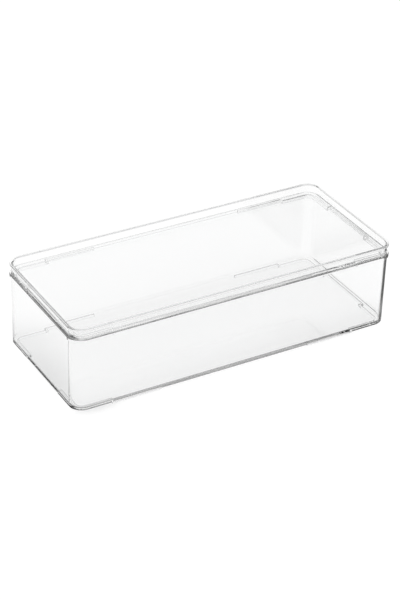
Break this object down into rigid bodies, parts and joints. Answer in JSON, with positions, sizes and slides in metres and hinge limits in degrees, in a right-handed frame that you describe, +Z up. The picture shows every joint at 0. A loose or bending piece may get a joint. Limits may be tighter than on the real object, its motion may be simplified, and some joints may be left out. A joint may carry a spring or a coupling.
{
  "type": "storage box",
  "caption": "Long clear plastic storage box with rounded corners, a rim flange and a lift-off tray lid located by stepped ribs.",
  "frame": {"origin": "middle of the footprint, at the level that the feet stand on", "axes": "+X along the long side, +Y across the box, +Z up through the lid"},
  "size_m": [0.305, 0.13, 0.0803],
  "materials": {
    "clear_plastic": "clear, polished",
    "clear_plastic_lid": "clear, polished"
  },
  "bodies": {
    "box": {"box_body": "clear_plastic"},
    "lid": {"lid": "clear_plastic_lid"}
  },
  "joints": [
    {"name": "lid_lift", "type": "slide", "parent": "box", "child": "lid", "axis": [0, 0, 1], "range_m": [0, 0.1]}
  ]
}
